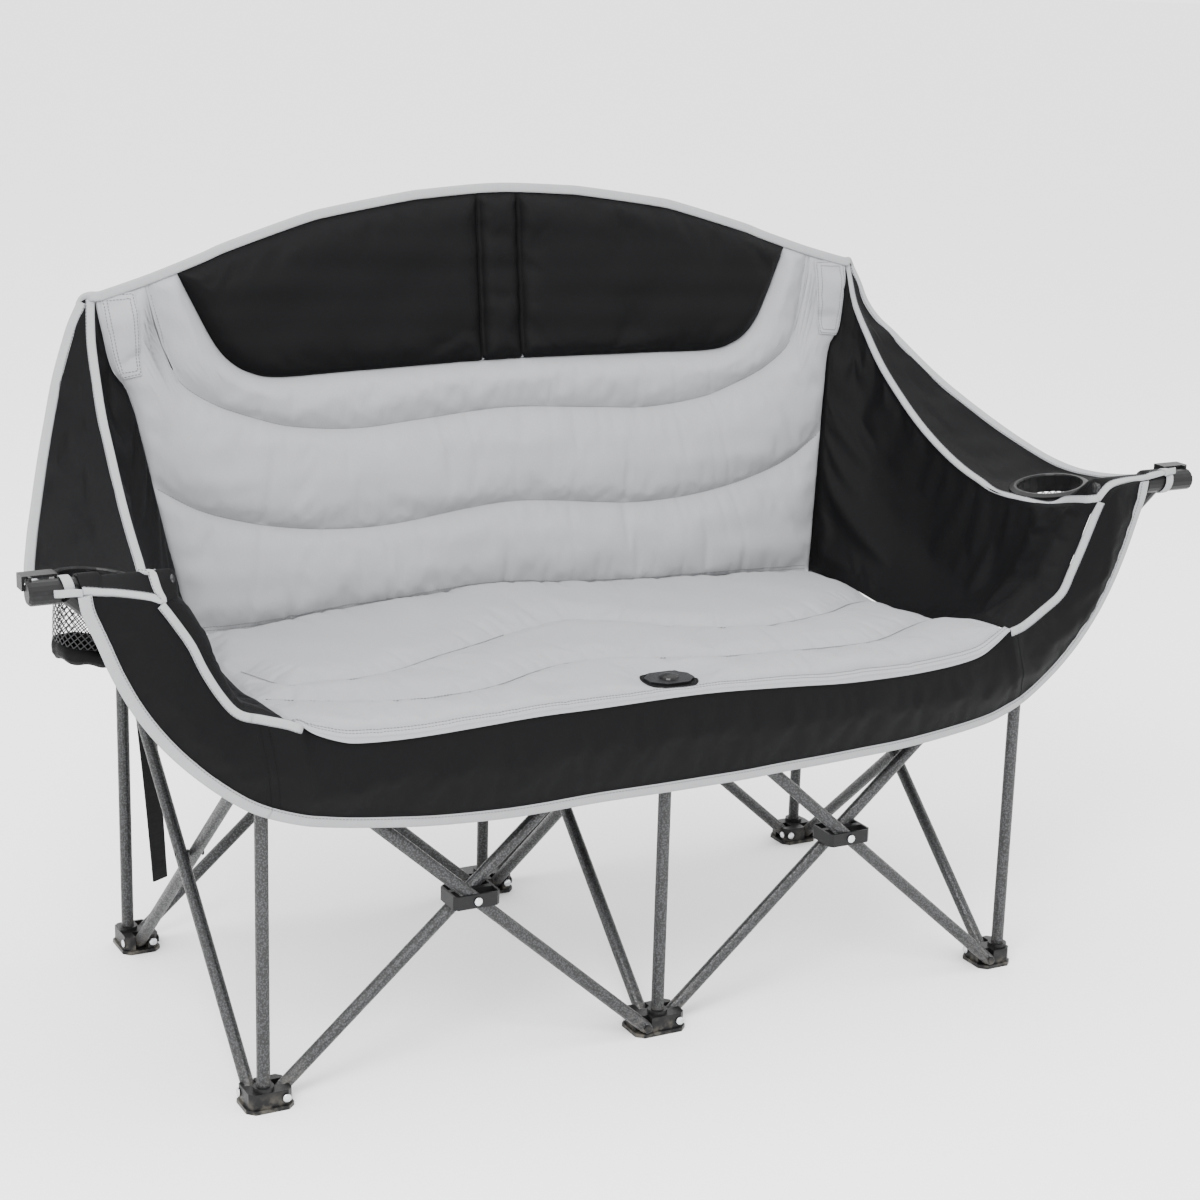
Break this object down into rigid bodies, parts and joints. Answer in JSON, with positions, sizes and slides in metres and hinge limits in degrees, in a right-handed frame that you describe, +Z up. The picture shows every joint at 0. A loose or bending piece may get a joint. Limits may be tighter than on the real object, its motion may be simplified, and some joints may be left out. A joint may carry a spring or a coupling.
{
  "type": "folding camping loveseat",
  "caption": "Folding camping loveseat with a padded seat and back, cloth arms with cup holders, and a scissor frame of painted tubes on moulded feet.",
  "frame": {"origin": "on the floor under the middle of the chair's outline, chair open", "axes": "+Z up, +X across the seat, the sitter faces -Y"},
  "size_m": [1.5596, 0.6004, 0.996],
  "materials": {
    "hammertone": "hammered grey paint",
    "inner_tube": "satin grey paint",
    "moulding": "fine matt texture",
    "grey_cloth": "woven polyester",
    "black_cloth": "woven polyester",
    "net": "open net",
    "webbing": "woven tape"
  },
  "bodies": {
    "rear_middle_leg": {"foot_back_middle": "moulding", "post_back_middle": "hammertone", "back_pad": "grey_cloth"},
    "middle_forward_tube": {"scissor_middle_forward": "hammertone"},
    "middle_rearward_tube": {"scissor_middle_rearward": "hammertone"},
    "front_middle_bracket": {"seat_bracket_front_middle": "moulding", "slider_front_middle": "inner_tube", "front_band_centre": "black_cloth", "seat_fastener": "moulding"},
    "front_middle_leg": {"foot_front_middle": "moulding", "post_front_middle": "hammertone"},
    "rear_middle_bracket": {"seat_bracket_back_middle": "moulding"},
    "rear_left_falling_tube": {"scissor_back_left_falling": "hammertone"},
    "rear_left_hub": {"hub_back_left": "moulding"},
    "rear_left_rising_tube": {"scissor_back_left_rising": "hammertone"},
    "rear_left_bracket": {"seat_bracket_back_left": "moulding", "storage_strap": "webbing"},
    "rear_left_leg": {"foot_back_left": "moulding", "post_back_left": "hammertone", "arm_cloth_left": "black_cloth", "side_cloth_left": "black_cloth"},
    "rear_right_rising_tube": {"scissor_back_right_rising": "hammertone"},
    "rear_right_hub": {"hub_back_right": "moulding"},
    "rear_right_falling_tube": {"scissor_back_right_falling": "hammertone"},
    "rear_right_bracket": {"seat_bracket_back_right": "moulding"},
    "rear_right_leg": {"foot_back_right": "moulding", "post_back_right": "hammertone", "arm_cloth_right": "black_cloth", "side_cloth_right": "black_cloth"},
    "front_left_falling_tube": {"scissor_front_left_falling": "hammertone", "arm_end_left": "moulding", "arm_bar_left": "hammertone", "front_band_left": "black_cloth"},
    "front_left_hub": {"hub_front_left": "moulding"},
    "front_left_rising_tube": {"scissor_front_left_rising": "hammertone"},
    "front_left_bracket": {"seat_bracket_front_left": "moulding", "slider_front_left": "inner_tube"},
    "front_left_leg": {"foot_front_left": "moulding", "post_front_left": "hammertone"},
    "front_right_rising_tube": {"scissor_front_right_rising": "hammertone", "arm_end_right": "moulding", "arm_bar_right": "hammertone", "front_band_right": "black_cloth"},
    "front_right_hub": {"hub_front_right": "moulding"},
    "front_right_falling_tube": {"scissor_front_right_falling": "hammertone"},
    "front_right_bracket": {"seat_bracket_front_right": "moulding", "slider_front_right": "inner_tube"},
    "front_right_leg": {"foot_front_right": "moulding", "post_front_right": "hammertone"},
    "left_forward_tube": {"scissor_left_forward": "hammertone"},
    "left_rearward_tube": {"scissor_left_rearward": "hammertone"},
    "right_forward_tube": {"scissor_right_forward": "hammertone"},
    "right_rearward_tube": {"scissor_right_rearward": "hammertone"},
    "seat_rear": {"seat_pad_rear": "grey_cloth"},
    "seat_front": {"seat_pad_front": "grey_cloth"},
    "cup_holder_left": {"cup_ring_left": "moulding", "cup_pocket_left": "net"},
    "cup_holder_right": {"cup_ring_right": "moulding", "cup_pocket_right": "net"}
  },
  "joints": [
    {"name": "fold", "type": "hinge", "parent": "rear_middle_leg", "child": "middle_forward_tube", "pos_m": [0.009, 0.24935, 0.014], "axis": [-1, 0, 0], "range_deg": [0, 43], "deforming": ["back_pad", "seat_pad_front", "seat_pad_rear", "front_band_centre", "arm_cloth_left", "side_cloth_left", "front_band_left", "arm_cloth_right", "side_cloth_right", "front_band_right"]},
    {"name": "middle_forward_top", "type": "hinge", "parent": "middle_forward_tube", "child": "front_middle_bracket", "pos_m": [0.009, -0.22265, 0.433], "axis": [1, 0, 0], "range_deg": [0, 43]},
    {"name": "middle_crossing", "type": "hinge", "parent": "middle_forward_tube", "child": "middle_rearward_tube", "pos_m": [0, 0.01335, 0.2235], "axis": [1, 0, 0], "range_deg": [0, 86]},
    {"name": "middle_rearward_foot", "type": "hinge", "parent": "middle_rearward_tube", "child": "front_middle_leg", "pos_m": [-0.009, -0.22265, 0.014], "axis": [-1, 0, 0], "range_deg": [0, 43]},
    {"name": "middle_rearward_top", "type": "hinge", "parent": "middle_rearward_tube", "child": "rear_middle_bracket", "pos_m": [-0.009, 0.24935, 0.433], "axis": [-1, 0, 0], "range_deg": [0, 43]},
    {"name": "rear_left_falling_foot", "type": "hinge", "parent": "rear_middle_leg", "child": "rear_left_falling_tube", "pos_m": [-0.024, 0.26135, 0.014], "axis": [0, 1, 0], "range_deg": [0, 43]},
    {"name": "rear_left_falling_hub", "type": "hinge", "parent": "rear_left_falling_tube", "child": "rear_left_hub", "pos_m": [-0.26, 0.26135, 0.2235], "axis": [0, -1, 0], "range_deg": [0, 43]},
    {"name": "rear_left_rising_crossing", "type": "hinge", "parent": "rear_left_falling_tube", "child": "rear_left_rising_tube", "pos_m": [-0.26, 0.28535, 0.2235], "axis": [0, -1, 0], "range_deg": [0, 86]},
    {"name": "rear_left_rising_foot", "type": "hinge", "parent": "rear_left_rising_tube", "child": "rear_left_leg", "pos_m": [-0.496, 0.28535, 0.014], "axis": [0, 1, 0], "range_deg": [0, 43]},
    {"name": "rear_left_falling_top", "type": "hinge", "parent": "rear_left_falling_tube", "child": "rear_left_bracket", "pos_m": [-0.496, 0.26135, 0.433], "axis": [0, -1, 0], "range_deg": [0, 43]},
    {"name": "rear_right_rising_foot", "type": "hinge", "parent": "rear_middle_leg", "child": "rear_right_rising_tube", "pos_m": [0.024, 0.28535, 0.014], "axis": [0, -1, 0], "range_deg": [0, 43]},
    {"name": "rear_right_rising_hub", "type": "hinge", "parent": "rear_right_rising_tube", "child": "rear_right_hub", "pos_m": [0.26, 0.28535, 0.2235], "axis": [0, 1, 0], "range_deg": [0, 43]},
    {"name": "rear_right_falling_crossing", "type": "hinge", "parent": "rear_right_rising_tube", "child": "rear_right_falling_tube", "pos_m": [0.26, 0.26135, 0.2235], "axis": [0, 1, 0], "range_deg": [0, 86]},
    {"name": "rear_right_falling_foot", "type": "hinge", "parent": "rear_right_falling_tube", "child": "rear_right_leg", "pos_m": [0.496, 0.26135, 0.014], "axis": [0, -1, 0], "range_deg": [0, 43]},
    {"name": "rear_right_rising_top", "type": "hinge", "parent": "rear_right_rising_tube", "child": "rear_right_bracket", "pos_m": [0.496, 0.28535, 0.433], "axis": [0, 1, 0], "range_deg": [0, 43]},
    {"name": "front_left_falling_foot", "type": "hinge", "parent": "front_middle_leg", "child": "front_left_falling_tube", "pos_m": [-0.024, -0.25865, 0.014], "axis": [0, 1, 0], "range_deg": [0, 43]},
    {"name": "front_left_falling_hub", "type": "hinge", "parent": "front_left_falling_tube", "child": "front_left_hub", "pos_m": [-0.26, -0.25865, 0.2235], "axis": [0, -1, 0], "range_deg": [0, 43]},
    {"name": "front_left_rising_crossing", "type": "hinge", "parent": "front_left_falling_tube", "child": "front_left_rising_tube", "pos_m": [-0.26, -0.23465, 0.2235], "axis": [0, -1, 0], "range_deg": [0, 86]},
    {"name": "front_left_rising_foot", "type": "hinge", "parent": "front_left_rising_tube", "child": "front_left_leg", "pos_m": [-0.496, -0.23465, 0.014], "axis": [0, 1, 0], "range_deg": [0, 43]},
    {"name": "front_left_falling_top", "type": "hinge", "parent": "front_left_falling_tube", "child": "front_left_bracket", "pos_m": [-0.496, -0.25865, 0.433], "axis": [0, -1, 0], "range_deg": [0, 43]},
    {"name": "front_right_rising_foot", "type": "hinge", "parent": "front_middle_leg", "child": "front_right_rising_tube", "pos_m": [0.024, -0.23465, 0.014], "axis": [0, -1, 0], "range_deg": [0, 43]},
    {"name": "front_right_rising_hub", "type": "hinge", "parent": "front_right_rising_tube", "child": "front_right_hub", "pos_m": [0.26, -0.23465, 0.2235], "axis": [0, 1, 0], "range_deg": [0, 43]},
    {"name": "front_right_falling_crossing", "type": "hinge", "parent": "front_right_rising_tube", "child": "front_right_falling_tube", "pos_m": [0.26, -0.25865, 0.2235], "axis": [0, 1, 0], "range_deg": [0, 86]},
    {"name": "front_right_falling_foot", "type": "hinge", "parent": "front_right_falling_tube", "child": "front_right_leg", "pos_m": [0.496, -0.25865, 0.014], "axis": [0, -1, 0], "range_deg": [0, 43]},
    {"name": "front_right_rising_top", "type": "hinge", "parent": "front_right_rising_tube", "child": "front_right_bracket", "pos_m": [0.496, -0.23465, 0.433], "axis": [0, 1, 0], "range_deg": [0, 43]},
    {"name": "left_forward_foot", "type": "hinge", "parent": "rear_left_leg", "child": "left_forward_tube", "pos_m": [-0.511, 0.24935, 0.014], "axis": [-1, 0, 0], "range_deg": [0, 43]},
    {"name": "left_crossing", "type": "hinge", "parent": "left_forward_tube", "child": "left_rearward_tube", "pos_m": [-0.52, 0.01335, 0.2235], "axis": [1, 0, 0], "range_deg": [0, 86]},
    {"name": "right_forward_foot", "type": "hinge", "parent": "rear_right_leg", "child": "right_forward_tube", "pos_m": [0.529, 0.24935, 0.014], "axis": [-1, 0, 0], "range_deg": [0, 43]},
    {"name": "right_crossing", "type": "hinge", "parent": "right_forward_tube", "child": "right_rearward_tube", "pos_m": [0.52, 0.01335, 0.2235], "axis": [1, 0, 0], "range_deg": [0, 86]},
    {"name": "seat_rear_drop", "type": "hinge", "parent": "rear_middle_leg", "child": "seat_rear", "pos_m": [0, 0.19785, 0.4635], "axis": [1, 0, 0], "range_deg": [0, 90]},
    {"name": "seat_front_drop", "type": "hinge", "parent": "front_middle_bracket", "child": "seat_front", "pos_m": [0, -0.24765, 0.399], "axis": [-1, 0, 0], "range_deg": [0, 90]},
    {"name": "cup_holder_left_slide", "type": "slide", "parent": "rear_left_leg", "child": "cup_holder_left", "axis": [0.1198, 0.9089, 0.3995], "range_m": [0, 0.36837]},
    {"name": "cup_holder_right_slide", "type": "slide", "parent": "rear_right_leg", "child": "cup_holder_right", "axis": [-0.1198, 0.9089, 0.3995], "range_m": [0, 0.36837]}
  ],
  "couplings": [
    {"joint": "middle_forward_top", "follows": "fold", "ratio": 1},
    {"joint": "middle_crossing", "follows": "fold", "ratio": 2},
    {"joint": "middle_rearward_foot", "follows": "fold", "ratio": 1},
    {"joint": "middle_rearward_top", "follows": "fold", "ratio": 1},
    {"joint": "rear_left_falling_foot", "follows": "fold", "ratio": 1},
    {"joint": "rear_left_falling_hub", "follows": "fold", "ratio": 1},
    {"joint": "rear_left_rising_crossing", "follows": "fold", "ratio": 2},
    {"joint": "rear_left_rising_foot", "follows": "fold", "ratio": 1},
    {"joint": "rear_left_falling_top", "follows": "fold", "ratio": 1},
    {"joint": "rear_right_rising_foot", "follows": "fold", "ratio": 1},
    {"joint": "rear_right_rising_hub", "follows": "fold", "ratio": 1},
    {"joint": "rear_right_falling_crossing", "follows": "fold", "ratio": 2},
    {"joint": "rear_right_falling_foot", "follows": "fold", "ratio": 1},
    {"joint": "rear_right_rising_top", "follows": "fold", "ratio": 1},
    {"joint": "front_left_falling_foot", "follows": "fold", "ratio": 1},
    {"joint": "front_left_falling_hub", "follows": "fold", "ratio": 1},
    {"joint": "front_left_rising_crossing", "follows": "fold", "ratio": 2},
    {"joint": "front_left_rising_foot", "follows": "fold", "ratio": 1},
    {"joint": "front_left_falling_top", "follows": "fold", "ratio": 1},
    {"joint": "front_right_rising_foot", "follows": "fold", "ratio": 1},
    {"joint": "front_right_rising_hub", "follows": "fold", "ratio": 1},
    {"joint": "front_right_falling_crossing", "follows": "fold", "ratio": 2},
    {"joint": "front_right_falling_foot", "follows": "fold", "ratio": 1},
    {"joint": "front_right_rising_top", "follows": "fold", "ratio": 1},
    {"joint": "left_forward_foot", "follows": "fold", "ratio": 1},
    {"joint": "left_crossing", "follows": "fold", "ratio": 2},
    {"joint": "right_forward_foot", "follows": "fold", "ratio": 1},
    {"joint": "right_crossing", "follows": "fold", "ratio": 2},
    {"joint": "seat_rear_drop", "follows": "fold", "ratio": 2.093},
    {"joint": "seat_front_drop", "follows": "fold", "ratio": 2.093},
    {"joint": "cup_holder_left_slide", "follows": "fold", "m_per_rad": 0.49082},
    {"joint": "cup_holder_right_slide", "follows": "fold", "m_per_rad": 0.49082}
  ]
}
